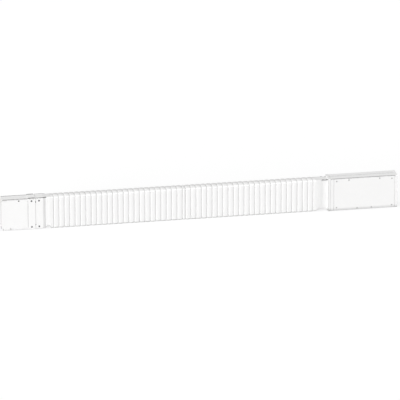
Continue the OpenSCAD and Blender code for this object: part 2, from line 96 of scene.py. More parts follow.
class NodeTree:
    """A thin wrapper that adds and links the nodes of one material or group."""

    def __init__(self, tree: bpy.types.NodeTree) -> None:
        """Keeps the tree that the nodes go into."""
        self.tree = tree

    def add(self, kind: str, *sources: object, **values: object) -> Node:
        """Adds a node.

        Args:
            kind: Blender's name of the node type, without its ShaderNode prefix.
            sources: what the first inputs get, in their order.
            values: properties to set on the node, or what inputs get by name, with
                underscores for spaces.

        Returns:
            The new node.
        """
        node = self.tree.nodes.new("ShaderNode" + kind)
        for target, source in zip(node.inputs, sources):
            self.feed(target, source)
        for key, value in values.items():
            if hasattr(node, key):
                setattr(node, key, value)
            else:
                self.feed(node.inputs[key.replace("_", " ")], value)
        return node

    def feed(self, target: Socket, source: object) -> None:
        """Feeds an input.

        Args:
            target: the input.
            source: a socket, a node, whose first output is used, or a value. A colour's
                value is a linear RGB triple.
        """
        if isinstance(source, (Socket, Node)):
            output = source if isinstance(source, Socket) else source.outputs[0]
            self.tree.links.new(output, target)
        else:
            target.default_value = (*source, 1.0) if target.type == "RGBA" else source

    def group(self, group: bpy.types.NodeTree, **values: float) -> Node:
        """Places a node group and sets its inputs by name."""
        return self.add("Group", node_tree=group, **values)

    def math(self, operation: str, first: object, second: object) -> Node:
        """A Math node over two sources."""
        return self.add("Math", first, second, operation=operation)

    def ramp(self, source: object, low: float, high: float, start: float, end: float) -> Node:
        """Maps a value that runs from low to high onto start to end, clamped."""
        return self.add("MapRange", source, low, high, start, end, clamp=True)

    def blend(self, factor: object, first: object, second: object) -> Socket:
        """Mixes two colours by the share of the second.

        Args:
            factor: the share of the second colour.
            first: the first colour's source.
            second: the second colour's source.

        Returns:
            The mixed colour's socket.
        """
        node = self.add("Mix", factor, data_type="RGBA")
        self.feed(node.inputs[6], first)
        self.feed(node.inputs[7], second)
        return node.outputs[2]

    def noise(self, scale: Socket, detail: float, roughness: float) -> Node:
        """Noise over the piece's own coordinates, about 0 to 1."""
        return self.add(
            "TexNoise", Vector=self.place(), Scale=scale, Detail=detail, Roughness=roughness)

    def place(self) -> Socket:
        """The place on the piece, in the piece's own coordinates."""
        return self.add("TexCoord").outputs["Object"]

    def upright(self, output: str) -> Socket:
        """The Z part of the surface's Position or Normal."""
        return self.add("SeparateXYZ", self.add("NewGeometry").outputs[output]).outputs["Z"]

    def close(self, kind: str, seen: Node, lit: Node) -> None:
        """Ends the tree in an output node that shows the camera one shader and the rest another.

        Args:
            kind: the output node's type.
            seen: the shader that the camera sees.
            lit: the shader that all other rays meet.
        """
        camera = self.add("LightPath").outputs["Is Camera Ray"]
        self.add(kind, self.add("MixShader", camera, lit, seen))


class SharedEffects:
    """The node groups that several finishes use, each built once."""

    def __init__(self) -> None:
        """Builds the three groups."""
        number, vector = "NodeSocketFloat", "NodeSocketVector"
        self.mottle = self._group(self._mottle, ("Broad", "Fine", "Share"), "Value", number)
        self.relief = self._group(self._relief, ("Scale", "Depth", "Edge"), "Normal", vector)
        self.rubbed = self._group(self._rubbed, ("Width", "Amount", "Patch"), "Mask", number)

    @staticmethod
    def _group(fill: Callable, inputs: tuple[str, ...], output: str, kind: str) -> bpy.types.NodeTree:
        """Makes a shader node group with one output.

        Args:
            fill: adds the nodes, given the tree and the inputs by name, and returns the last.
            inputs: names of the inputs, all numbers.
            output: name of the output.
            kind: socket type of the output.

        Returns:
            The group, named after fill.
        """
        group = bpy.data.node_groups.new(fill.__name__.strip("_"), "ShaderNodeTree")
        for label in inputs:
            group.interface.new_socket(label, in_out="INPUT", socket_type="NodeSocketFloat")
        group.interface.new_socket(output, in_out="OUTPUT", socket_type=kind)
        given, result = (group.nodes.new(end) for end in ("NodeGroupInput", "NodeGroupOutput"))
        tree = NodeTree(group)
        tree.feed(result.inputs[0], fill(tree, given.outputs))
        return group

    @staticmethod
    def _mottle(tree: NodeTree, given: bpy.types.bpy_prop_collection) -> Node:
        """Broad and fine noise added up: a slow cloud plus a share of fine speckle, 0 to 1.

        Args:
            tree: the tree that the nodes go into.
            given: the group's inputs by name.

        Returns:
            The last node, which puts out the cloud.
        """
        broad = tree.noise(given["Broad"], 3.0, 0.55)
        fine = tree.noise(given["Fine"], 2.0, 0.6)
        added = tree.math("MULTIPLY", tree.math("SUBTRACT", fine, 0.5), given["Share"])
        return tree.math("ADD", broad, added)

    @staticmethod
    def _relief(tree: NodeTree, given: bpy.types.bpy_prop_collection) -> Node:
        """Surface relief as a normal: fine noise over the rounded normal of nearby edges.

        Args:
            tree: the tree that the nodes go into.
            given: the group's inputs by name.

        Returns:
            The last node, which puts out the normal.
        """
        soft = tree.add("Bevel", samples=4, Radius=given["Edge"])
        grain = tree.noise(given["Scale"], 2.0, 0.5)
        return tree.add("Bump", Strength=1.0, Height=grain, Distance=given["Depth"], Normal=soft)

    @staticmethod
    def _rubbed(tree: NodeTree, given: bpy.types.bpy_prop_collection) -> Node:
        """Wear mask: how far the rounded normal leaves the true one, broken up by noise.

        Args:
            tree: the tree that the nodes go into.
            given: the group's inputs by name.

        Returns:
            The last node, which puts out the mask.
        """
        soft = tree.add("Bevel", samples=6, Radius=given["Width"])
        true = tree.add("NewGeometry").outputs["Normal"]
        dot = tree.add("VectorMath", soft, true, operation="DOT_PRODUCT").outputs["Value"]
        edge = tree.ramp(dot, 0.995, 0.80, 0.0, 1.0)
        patches = tree.ramp(tree.noise(given["Patch"], 4.0, 0.65), 0.50, 0.68, 0.0, 1.0)
        return tree.math("MULTIPLY", tree.math("MULTIPLY", edge, patches), given["Amount"])


def grey(tone: float, warmth: float = 0.0) -> Triple:
    """A near-grey linear colour, a little warmer where warmth is above 0."""
    return (tone * (1.0 + warmth), tone, tone * (1.0 - warmth))


# ---- finishes


class Finish(StrEnum):
    """The finishes: auto gives each its own name in small letters, mostly that of its slot."""

    CASING_PAINT = auto()
    SADDLE_PAINT = auto()
    BOX_PAINT = auto()
    # a darker copy of the box paint: painted shade on the left end cap
    CAP_PAINT = auto()
    COVER_PAINT = auto()
    NECK_PLASTIC = auto()
    SLEEVE_PLASTIC = auto()
    # near-black cords, beads and plugs that paint lines and spots of shade
    CORD = auto()
    PALE_SEAL = auto()
    INSULATOR = auto()
    TINNED_COPPER = auto()
    COPPER = auto()
    SCREW_STEEL = auto()
    COVER_SCREW = auto()


@dataclass(frozen=True, kw_only=True)
class Recipe:
    """A finish that can be made into a material.

    MOTTLE and RELIEF are the inputs of the shared groups. The roughness follows the
    mottle's cloud from the first value of gloss to the second.
    """

    MOTTLE = {"Broad": 9.0, "Fine": 420.0, "Share": 0.5}
    RELIEF = {"Scale": 620.0, "Depth": 0.000012, "Edge": 0.0006}
    METALLIC = 0.0

    gloss: Pair = (0.52, 0.40)

    def material(self, name: str, shared: SharedEffects) -> bpy.types.Material:
        """Makes a material with a Principled shader and sets its inputs.

        Args:
            name: the material's name.
            shared: the shared node groups.

        Returns:
            The new material.
        """
        material = bpy.data.materials.new(name)
        material.use_nodes = True
        inputs = material.node_tree.nodes["Principled BSDF"].inputs
        tree = NodeTree(material.node_tree)
        cloud = tree.group(shared.mottle, **self.MOTTLE)
        relief = tree.group(shared.relief, **self.RELIEF)
        tree.feed(inputs["Metallic"], self.METALLIC)
        tree.feed(inputs["Base Color"], self.paint(tree, cloud, shared))
        tree.feed(inputs["Roughness"], tree.ramp(cloud, *CLOUD, *self.gloss))
        tree.feed(inputs["Normal"], self.shape(tree, relief))
        return material

    def paint(self, tree: NodeTree, cloud: Node, shared: SharedEffects) -> Socket:
        """The colour, which each finish mixes in its own way."""
        raise NotImplementedError

    def shape(self, tree: NodeTree, relief: Node) -> Node:
        """The normal: the shared relief as it is."""
        return relief


@dataclass(frozen=True, kw_only=True)
class GreyRecipe(Recipe):
    """A near-grey finish that drifts with the cloud from tone less drift up to tone."""

    tone: float
    drift: float = 0.012
    warmth: float = 0.0

    def paint(self, tree: NodeTree, cloud: Node, shared: SharedEffects) -> Socket:
        """The drifting grey.

        Args:
            tree: the tree that the nodes go into.
            cloud: the mottle's node.
            shared: the shared node groups; not used here.

        Returns:
            The colour's socket.
        """
        share = tree.ramp(cloud, *CLOUD, 0.0, 1.0)
        low, high = (grey(tone, self.warmth) for tone in (self.tone - self.drift, self.tone))
        return tree.blend(share, low, high)


@dataclass(frozen=True, kw_only=True)
class PowderCoat(GreyRecipe):
    """Satin powder coat with orange peel, a slow drift of tone and rubbed edges.

    Near the floor the coat is painted with shade: it darkens towards the floor over a set height, by a
    set share at the floor itself.
    """

    warmth: float = 0.003
    wear: float = 0.25
    worn_tone: float = 0.55
    # painted shade near the floor: its share at the floor, the height it fades over and its tone
    under_shade: float = 0.0
    under_shade_h: float = 0.016
    under_shade_tone: float = 0.32

    def paint(self, tree: NodeTree, cloud: Node, shared: SharedEffects) -> Socket:
        """The coat's colour, greyer at rubbed edges and darker towards the floor, a painted shade.

        Args:
            tree: the tree that the nodes go into.
            cloud: the mottle's node.
            shared: the shared node groups.

        Returns:
            The colour's socket.
        """
        colour = super().paint(tree, cloud, shared)
        rubbed = tree.group(shared.rubbed, Width=0.0010, Amount=self.wear, Patch=85.0)
        colour = tree.blend(rubbed, colour, grey(self.worn_tone))
        # painted shade: darker towards the floor, broken up by the cloud
        if self.under_shade > 0.0:
            low = tree.ramp(tree.upright("Position"), 0.0, self.under_shade_h, self.under_shade, 0.0)
            broken = tree.math("MULTIPLY", low, tree.ramp(cloud, 0.2, 0.8, 0.75, 1.0))
            colour = tree.blend(broken, colour, grey(self.under_shade_tone))
        return colour


@dataclass(frozen=True, kw_only=True)
class MouldedPlastic(GreyRecipe):
    """Moulded plastic with a fine spark-eroded grain and faint flow clouds."""

    MOTTLE = {"Broad": 16.0, "Fine": 900.0, "Share": 0.6}
    RELIEF = {"Scale": 1500.0, "Depth": 0.000018, "Edge": 0.0005}

    drift: float = 0.015
    gloss: Pair = (0.60, 0.46)


@dataclass(frozen=True, kw_only=True)
class SleevePlastic(GreyRecipe):
    """Soft matte plastic of the pleated sleeves, with grime in the creases, a painted highlight on the
    front of the top and painted shade on its rear and underside.

    The crease attribute of the sleeve's mesh is 1 at the bottom of a fold and 0 on its crown.
    The rear attribute rises from 0 on the front half of the section to 1 on the rear half. The rear of
    the top is painted darker, a painted shade, and the front of the top lighter, a painted highlight.
    The underside is painted darker, a painted shade.
    """

    MOTTLE = {"Broad": 11.0, "Fine": 520.0, "Share": 0.6}
    RELIEF = {"Scale": 1100.0, "Depth": 0.000015, "Edge": 0.0002}

    warmth: float = 0.002
    gloss: Pair = (0.62, 0.50)
    crease_dust: Pair = (0.10, 0.30)
    # painted shade on the rear of the top: its share over the cloud
    top_shade: Pair = (0.40, 0.50)
    # tone and warmth of the grime in the creases and of the painted shade on the rear of the top
    dust_and_shade_tone: float = 0.64
    dust_and_shade_warmth: float = 0.01
    # painted highlight on the front of the top
    top_highlight_tone: float = 0.99
    # painted shade on the underside: its share and tone
    under_shade: float = 0.50
    under_shade_tone: float = 0.30

    def paint(self, tree: NodeTree, cloud: Node, shared: SharedEffects) -> Socket:
        """The colour: a painted highlight on the front of the top, painted shade on its rear and
        underneath, and grime in the creases.

        Args:
            tree: the tree that the nodes go into.
            cloud: the mottle's node.
            shared: the shared node groups.

        Returns:
            The colour's socket.
        """
        skin = super().paint(tree, cloud, shared)
        crease, rear = (
            tree.add("Attribute", attribute_name=label).outputs["Fac"] for label in ("crease", "rear"))
        facing = tree.upright("Normal")
        upward = tree.ramp(facing, 0.1, 0.8, 0.0, 1.0)
        front_top = tree.math("MULTIPLY", upward, tree.math("SUBTRACT", 1.0, rear))
        rear_top = tree.math("MULTIPLY", upward, rear)
        # painted highlight: the front of the top lighter
        top_highlighted = tree.blend(front_top, skin, grey(self.top_highlight_tone, self.warmth))
        creased = tree.math("MULTIPLY", crease, tree.ramp(cloud, 0.25, 0.75, *self.crease_dust))
        # painted shade: the rear of the top darker, broken up by the cloud
        top_shade_share = tree.math("MULTIPLY", rear_top, tree.ramp(cloud, 0.25, 0.75, *self.top_shade))
        dust_and_shade = tree.math("MAXIMUM", creased, top_shade_share)
        dusty_and_shaded = tree.blend(dust_and_shade, top_highlighted, grey(self.dust_and_shade_tone, self.dust_and_shade_warmth))
        # painted shade on the underside, darker as the surface faces down
        underside_shade = tree.ramp(facing, -0.7, -0.05, self.under_shade, 0.0)
        return tree.blend(underside_shade, dusty_and_shaded, grey(self.under_shade_tone))


@dataclass(frozen=True, kw_only=True)
class Rubber(GreyRecipe):
    """Grey rubber, matte, with a powdery bloom that lightens it in patches: the pale seals, and the
    dark cords, beads and plugs that paint lines and spots of shade.
    """

    MOTTLE = {"Broad": 40.0, "Fine": 900.0, "Share": 0.8}
    RELIEF = {"Scale": 1800.0, "Depth": 0.00002, "Edge": 0.0002}

    gloss: Pair = (0.72, 0.88)
    bloom: float = 1.5

    def paint(self, tree: NodeTree, cloud: Node, shared: SharedEffects) -> Socket:
        """The rubber's colour, lighter in patches of the cloud."""
        patches = tree.ramp(cloud, 0.45, 0.8, 0.0, 0.5)
        return tree.blend(patches, grey(self.tone), grey(self.tone * self.bloom))


@dataclass(frozen=True, kw_only=True)
class PlatedMetal(Recipe):
    """Plated or bare metal with draw lines along the run and a cloudy tarnish."""

    MOTTLE = {"Broad": 45.0, "Fine": 700.0, "Share": 0.5}
    RELIEF = {"Scale": 900.0, "Depth": 0.000005, "Edge": 0.0004}
    METALLIC = 1.0

    gloss: Pair = (0.26, 0.46)
    colour: Triple
    tarnish: Triple
    line_depth: float = 0.000012

    def paint(self, tree: NodeTree, cloud: Node, shared: SharedEffects) -> Socket:
        """The metal's colour, dulled where the cloud is thick."""
        return tree.blend(tree.ramp(cloud, 0.42, 0.72, 0.0, 0.8), self.colour, self.tarnish)

    def shape(self, tree: NodeTree, relief: Node) -> Node:
        """Draw lines over the relief: noise stretched fifty times along X.

        Args:
            tree: the tree that the nodes go into.
            relief: the relief's node.

        Returns:
            The node that puts out the normal.
        """
        stretch = tree.add("Mapping", Vector=tree.place(), Scale=(0.02, 1.0, 1.0))
        lines = tree.add("TexNoise", Vector=stretch, Scale=2400.0, Detail=2.0)
        return tree.add("Bump", Strength=1.0, Distance=self.line_depth, Height=lines, Normal=relief)


class FinishShop:
    """Builds each finish once and puts it on pieces."""

    RECIPES = {
        Finish.CASING_PAINT: PowderCoat(tone=0.93),
        Finish.SADDLE_PAINT: PowderCoat(tone=0.93),
        Finish.BOX_PAINT: PowderCoat(tone=0.91, under_shade=0.65),
        # painted shade: a darker copy of the box paint for the left end cap
        Finish.CAP_PAINT: PowderCoat(tone=0.875, under_shade=0.75),
        Finish.COVER_PAINT: PowderCoat(tone=0.90, under_shade=0.65),
        Finish.NECK_PLASTIC: MouldedPlastic(tone=0.875, warmth=0.002),
        Finish.SLEEVE_PLASTIC: SleevePlastic(tone=0.895),
        # near-black: cords, beads and plugs that paint lines and spots of shade
        Finish.CORD: Rubber(tone=0.05),
        Finish.PALE_SEAL: Rubber(tone=0.72),
        Finish.INSULATOR: MouldedPlastic(tone=0.84, warmth=0.02, gloss=(0.58, 0.42)),
        Finish.TINNED_COPPER: PlatedMetal(colour=(0.62, 0.61, 0.57), tarnish=(0.40, 0.39, 0.37)),
        Finish.COPPER: PlatedMetal(colour=(0.72, 0.36, 0.20), tarnish=(0.36, 0.17, 0.10)),
        Finish.SCREW_STEEL: PlatedMetal(
            colour=(0.26, 0.26, 0.27), tarnish=(0.15, 0.15, 0.16), gloss=(0.34, 0.5)),
        Finish.COVER_SCREW: MouldedPlastic(tone=0.52, gloss=(0.45, 0.32)),
    }

    SLOTS = {Finish.CORD: "gasket"}

    def __init__(self) -> None:
        """Builds the shared effects; finishes are built when they are first used."""
        self.shared = SharedEffects()
        self.built: dict[Finish, bpy.types.Material] = {}

    def coat(self, obj: bpy.types.Object, finish: Finish) -> None:
        """Puts a finish on an object in place of all its materials.

        Args:
            obj: the object.
            finish: the finish.
        """
        if finish not in self.built:
            self.built[finish] = self.RECIPES[finish].material(finish.value, self.shared)
        obj.data.materials.clear()
        obj.data.materials.append(self.built[finish])

    def fit(self, obj: bpy.types.Object, finish: Finish, *nodes: str) -> None:
        """Coats a new piece and ties it to the frame.

        Args:
            obj: the new piece.
            finish: its finish.
            nodes: the frame's nodes that it stands for, if any.
        """
        self.coat(obj, finish)
        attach(obj, BODY)
        if nodes:
            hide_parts(*nodes)
        log.info("piece %s", obj.name)


# ---- surfaces


def new_object(name: str, data: bpy.types.ID) -> bpy.types.Object:
    """Makes an object and puts it into the scene.

    Args:
        name: the object's name.
        data: what the object shows.

    Returns:
        The new object.
    """
    obj = bpy.data.objects.new(name, data)
    bpy.context.scene.collection.objects.link(obj)
    return obj


def grid_object(
    name: str,
    points: Array,
    looped: bool = False,
    sharp_angle: float = 40.0,
    masks: dict[str, Array] | None = None,
) -> bpy.types.Object:
    """Turns a grid of points into a mesh object.

    Neighbours in the grid make a quad each, and every row closes on itself. A row whose
    points coincide becomes a single pole. Where the signed volume (the sum of
    v0 . (v1 x v2) over the faces) is negative, the faces are turned round so that they
    point outwards.

    Args:
        name: the object's name.
        points: array of shape (rows, columns, 3).
        looped: whether the last row joins the first.
        sharp_angle: edges sharper than this many degrees stay hard.
        masks: point values between 0 and 1 by attribute name, of shape (rows, columns).

    Returns:
        The new object, linked to the scene.
    """
    rows, cols = points.shape[:2]
    index = np.arange(rows * cols).reshape(rows, cols)
    down = np.roll(index, -1, axis=0)
    across = np.roll(index, -1, axis=1)
    both = np.roll(down, -1, axis=1)
    quads = np.stack([index, down, both, across], axis=-1)
    quads = quads[: rows if looped else rows - 1].reshape(-1, 4)
    flat = points.reshape(-1, 3)
    corners = flat[quads]
    fans = np.cross(corners[:, 1:3], corners[:, 2:]).sum(axis=1)
    if np.sum(corners[:, 0] * fans) < 0:
        quads = quads[:, ::-1]
    mesh = bpy.data.meshes.new(name)
    mesh.from_pydata(flat.tolist(), [], quads.tolist())
    mesh.validate()
    for label, values in (masks or {}).items():
        layer = mesh.attributes.new(label, "FLOAT", "POINT")
        layer.data.foreach_set("value", values.astype(np.float32).ravel())
    grid = bmesh.new()
    grid.from_mesh(mesh)
    bmesh.ops.remove_doubles(grid, verts=grid.verts[:], dist=POLE_MERGE)
    grid.to_mesh(mesh)
    grid.free()
    mesh.shade_smooth()
    mesh.set_sharp_from_angle(angle=math.radians(sharp_angle))
    return new_object(name, mesh)


@dataclass(frozen=True)
class RoundSection:
    """A rectangle with round corners, walked once round in the Y-Z plane.

    A point is the centre of its corner's circle plus the circle's radius in its direction.
    Along a flat the centre slides and the direction stays; round a corner the centre stays
    and the direction turns. Shares for the two side flats, counted from the top, bring the
    samples together where a shape needs them.
    """

    corner_steps: int
    flat_steps: int
    side_shares: tuple[float, ...] = ()

    def walk(self) -> tuple[Array, Array, Array]:
        """The walk's samples: the centres and the directions.

        Returns:
            The centres' shares of the half depth and of the half height, from -1 to 1, and
            the directions' angles in radians.
        """
        turn = np.linspace(0.0, 1.0, self.corner_steps)
        even = np.linspace(0.0, 1.0, self.flat_steps + 2)[1:-1]
        down = np.array(self.side_shares) if self.side_shares else even
        slides = (even, down, even, 1.0 - down[::-1])
        signs = np.array([[1, 1], [-1, 1], [-1, -1], [1, -1]], dtype=float)
        shares, angles = [], []
        for k in range(4):
            here, there = signs[k], signs[(k + 1) % 4]
            shares.append(np.repeat(here[None], self.corner_steps, axis=0))
            angles.append((k + turn) * np.pi / 2)
            shares.append(here + (there - here) * slides[k][:, None])
            angles.append(np.full(len(slides[k]), (k + 1) * np.pi / 2))
        joined = np.concatenate(shares)
        return joined[:, 0], joined[:, 1], np.concatenate(angles)

    def carry(
        self, run: Array, half_d: Array, low: Array, high: Array, radius: Array
    ) -> Array:
        """Carries the section along X.

        Args:
            run: X of each row.
            half_d: half the depth of each row, in Y.
            low: lowest Z of each row.
            high: highest Z of each row.
            radius: corner radius of each row.

        Returns:
            Points of shape (rows, samples, 3).
        """
        share_y, share_z, angle = self.walk()
        half_d, low, high, radius = (
            np.broadcast_to(v, run.shape)[:, None] for v in (half_d, low, high, radius))
        mid, half_h = (low + high) / 2, (high - low) / 2
        y = share_y * (half_d - radius) + radius * np.cos(angle)
        z = mid + share_z * (half_h - radius) + radius * np.sin(angle)
        return grid_points(run[:, None], y, z)


def grid_points(x: Array, y: Array, z: Array) -> Array:
    """Joins three coordinates, spread to one shape, into points."""
    return np.stack(np.broadcast_arrays(x, y, z), axis=-1)


def ring(spokes: int, power: float = 1.0) -> tuple[Array, Array]:
    """A superellipse: cos and sin once round, each to a power with its sign kept."""
    turn = np.linspace(0.0, 2 * np.pi, spokes, endpoint=False)
    return tuple(np.sign(wave) * np.abs(wave) ** power for wave in (np.cos(turn), np.sin(turn)))


def middle_y(node: str) -> float:
    """Y of the middle of a node's box."""
    lo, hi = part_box(node)
    return (lo.y + hi.y) / 2


def smooth_step(value: Array, start: float, end: float) -> Array:
    """Rises from 0 at start to 1 at end as 3t^2 - 2t^3, t being the share of the way."""
    t = np.clip((value - start) / (end - start), 0.0, 1.0)
    return t * t * (3.0 - 2.0 * t)


# ---- pleated sleeves


@dataclass
class PleatedSleeve:
    """One sleeve: a skin with crowned folds between narrow creases, and a plain inner wall.

    Near and cuff are the distances of rows from a crease and from the cuff's end. The depths
    of the creases vary at random by the shares of jitter, and no row goes deeper than
    deepest times the depth plus a fifth of the crown.
    """

    node: str
    seed: int
    mirrored: bool = False
    pleats: int = 25
    pitch: float = 24.56 * MM
    depth: float = 4.0 * MM
    jitter: Pair = (-0.07, 0.03)
    deepest: float = 1.04
    crease_w: float = 1.05 * MM
    crease_power: float = 1.4
    crown: float = 1.5 * MM
    crown_power: float = 2.2
    first: float = 12.4 * MM
    cuff_drop: float = 0.8 * MM
    lip_drop: float = 2.2 * MM
    lip_edge: float = 0.4 * MM
    corner_r: float = 6.5 * MM
    wall: float = 1.6 * MM
    # band in Y over which the rear mask rises, for the painted shade on the rear of the top
    rear_band: Pair = (-8.0 * MM, 12.0 * MM)
    near: tuple[float, ...] = (0.0, 0.25, 0.5, 0.8, 1.2, 1.7, 2.4, 3.4, 4.8, 6.4, 8.4)
    cuff: tuple[float, ...] = (0.0, 0.4, 2.0, 5.0, 8.0, 10.0, 11.2, 11.8, 12.1)
    section: RoundSection = RoundSection(corner_steps=9, flat_steps=8)

    def build(self, shop: FinishShop) -> None:
        """Makes the sleeve in place of its node.

        Args:
            shop: where the finishes come from.
        """
        lo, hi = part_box(self.node)
        run, drop, crease = self._outline(hi.x - lo.x)
        x = hi.x - run if self.mirrored else lo.x + run
        half = (hi.y - lo.y) / 2
        points = self.section.carry(x, half + drop, lo.z - drop, hi.z + drop, self.corner_r + drop)
        # rear mask: where the top takes painted shade instead of a painted highlight
        rear = smooth_step(points[..., 1], *self.rear_band)
        points[..., 1] += middle_y(self.node)
        masks = {"crease": np.repeat(crease[:, None], points.shape[1], axis=1), "rear": rear}
        piece = grid_object(self.node + "_skin", points, True, 50.0, masks)
        shop.fit(piece, Finish.SLEEVE_PLASTIC, self.node)

    def _outline(self, length: float) -> tuple[Array, Array, Array]:
        """The skin's outline from the cuff to the lip and back along the inner wall.

        Between two creases the fold is a crown: it drops by crown times t^crown_power, t
        being the distance from its middle in half pitches, and by depth times
        exp(-(s / w)^crease_power) near a crease, where s is the distance from it.

        Args:
            length: the sleeve's length.

        Returns:
            Distance along the sleeve, height above the crests (negative) and crease mask.
        """
        rng = np.random.default_rng(self.seed)
        near, cuff = np.array(self.near) * MM, np.array(self.cuff) * MM
        steps = np.concatenate([near, [self.pitch / 2], self.pitch - near[:0:-1]])
        lines = self.first + np.arange(self.pleats) * self.pitch
        depths = self.depth * (1.0 + rng.uniform(*self.jitter, self.pleats))
        body = (lines[:-1, None] + steps).ravel()
        run = np.concatenate([cuff, body, lines[-1] + near[:6], [length - self.lip_edge, length]])
        reach = np.exp(-((np.abs(run[:, None] - lines) / self.crease_w) ** self.crease_power))
        phase = np.abs(((run - self.first) / self.pitch) % 1.0 - 0.5) * 2.0
        top = -self.crown * phase**self.crown_power
        top = np.where(run < self.first, -self.cuff_drop, top)
        top = np.where(run > lines[-1], -self.lip_drop, top)
        lowest = -(self.depth * self.deepest + self.crown * 0.2)
        drop = np.maximum(top - (reach * depths).max(axis=1), lowest)
        crease = np.clip(reach.max(axis=1), 0.0, 1.0)
        inner = lowest - self.wall
        back_run = [length, lines[-1], length * 0.5, self.first, 0.0]
        back_drop = [-self.lip_drop - self.wall, inner, inner, inner, -self.cuff_drop - self.wall]
        return (
            np.concatenate([run, back_run]),
            np.concatenate([drop, back_drop]),
            np.concatenate([crease, np.zeros(len(back_run))]),
        )


@dataclass
class JoiningBand:
    """The clamp band over the lips where the two sleeves meet."""

    node: str = "joining_band"
    lip_drop: float = 2.2 * MM
    corner_r: float = 6.5 * MM
    edge_r: float = 1.1 * MM
    crown: float = 0.25 * MM
    flat_share: float = 0.4
    section: RoundSection = RoundSection(corner_steps=10, flat_steps=2)

    def build(self, shop: FinishShop) -> None:
        """Makes the band: a strip with rounded edges and a slight crown, carried round.

        The crown falls with the square of the distance from the band's middle.

        Args:
            shop: where the finishes come from.
        """
        lo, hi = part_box(self.node)
        half, half_d = (hi.x - lo.x) / 2, (hi.y - lo.y) / 2
        turn = np.linspace(0.0, np.pi / 2, 5)
        side = half - self.edge_r + self.edge_r * np.sin(turn)
        drop = self.edge_r * (np.cos(turn) - 1.0)
        flat = half * self.flat_share
        across = np.concatenate([-side[::-1], [-flat, 0.0, flat], side])
        fall = np.concatenate([drop[::-1], np.zeros(3), drop]) - self.crown * (across / half) ** 2
        run = np.concatenate([across, [half, -half]]) + (lo.x + hi.x) / 2
        fall = np.concatenate([fall, [-self.lip_drop, -self.lip_drop]])
        points = self.section.carry(run, half_d + fall, lo.z - fall, hi.z + fall, self.corner_r + fall)
        points[..., 1] += middle_y(self.node)
        shop.fit(grid_object(self.node + "_strap", points, True), Finish.NECK_PLASTIC, self.node)


# ---- necks


@dataclass
class Neck:
    """A moulded neck: a round-cornered section that changes smoothly along the run.

    Each station gives the distance from the node's low end, half the depth, the lowest and
    highest Z and the corner radius. Rows between stations follow a smooth step. The bore is
    half its depth, its lowest and highest Z and its corner radius.
    """

    node: str
    stations: Stations
    groove_run: Quad
    groove_z: Pair
    groove_d: float = 3.6 * MM
    groove_soft: float = 0.4 * MM
    groove_from: float = 15.0 * MM
    bore: Quad = (20.5 * MM, 15.5 * MM, 137.0 * MM, 8.0 * MM)
    rows_between: int = 10
    section: RoundSection = RoundSection(
        corner_steps=13, flat_steps=6,
        side_shares=(0.002, 0.004, 0.007, 0.010, 0.014, 0.019, 0.026, 0.04, 0.1, 0.3, 0.5, 0.7, 0.9))

    def build(self, shop: FinishShop) -> None:
        """Makes the neck in place of its node.

        Args:
            shop: where the finishes come from.
        """
        rows = self._rows()
        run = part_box(self.node)[0].x + rows[:, 0]
        outer = self.section.carry(run, *rows[:, 1:].T)
        self._cut_groove(outer, rows[:, 0])
        inner = self.section.carry(run[[-1, 0]], *self.bore)
        points = np.concatenate([outer, inner])
        points[..., 1] += middle_y(self.node)
        piece = grid_object(self.node + "_moulding", points, True, 42.0)
        shop.fit(piece, Finish.NECK_PLASTIC, self.node)

    def _rows(self) -> Array:
        """Rows between the stations, eased by a smooth step from one to the next.

        Returns:
            Array of shape (rows, 5).
        """
        stations = np.array(self.stations) * MM
        t = np.linspace(0.0, 1.0, self.rows_between + 1)[None, :, None]
        here, there = stations[:-1, None, :], stations[1:, None, :]
        rows = here + (there - here) * smooth_step(t, 0.0, 1.0)
        rows[..., 0] = (here + (there - here) * t)[..., 0]
        return np.concatenate([rows[:, :-1].reshape(-1, 5), stations[-1:]])

    def _cut_groove(self, points: Array, run: Array) -> None:
        """Presses a groove under the top edges of both sides.

        A point moves towards the middle plane by the groove's depth times a smooth window
        over its height and a window along the run that rises and falls smoothly.

        Args:
            points: the outer rows, changed in place.
            run: distance of each row from the node's low end.
        """
        (low, high), soft = self.groove_z, self.groove_soft
        y, z = points[..., 1], points[..., 2]
        window = smooth_step(z, low - soft, low + soft)
        window = window * (1.0 - smooth_step(z, high - soft, high + soft))
        rise_a, rise_b, fall_a, fall_b = self.groove_run
        along = smooth_step(run, rise_a, rise_b) * (1.0 - smooth_step(run, fall_a, fall_b))
        side = np.sign(y) * (np.abs(y) > self.groove_from)
        points[..., 1] = y - side * self.groove_d * window * along[:, None]


# ---- seals


@dataclass
class ShadeCord:
    """A dark soft cord lying along the run, the same on the front and on the back, that paints a line
    of shade in a groove, slot or gap.

    Each station gives the distance from the start, the distance from the middle plane, the
    height, half the thickness in Y and half the thickness in Z. A thickness of 0 closes an
    end. The section is a superellipse whose power is squareness.
    """

    name: str
    stations: Stations
    squareness: float = 0.7
    spokes: int = 24

    def build(self, shop: FinishShop, start: str, middle: str) -> None:
        """Makes the two cords.

        Args:
            shop: where the finish comes from.
            start: the node from whose low end the stations count.
            middle: the node whose middle plane is used.
        """
        start_x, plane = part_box(start)[0].x, middle_y(middle)
        run, out, height, half_y, half_z = np.array(self.stations).T[:, :, None] * MM
        across, along = ring(self.spokes, self.squareness)
        for side, label in ((-1.0, "front"), (1.0, "back")):
            y = plane + side * (out + half_y * across)
            points = grid_points(start_x + run, y, height + half_z * along)
            shop.fit(grid_object(f"{self.name}_{label}", points), Finish.CORD)


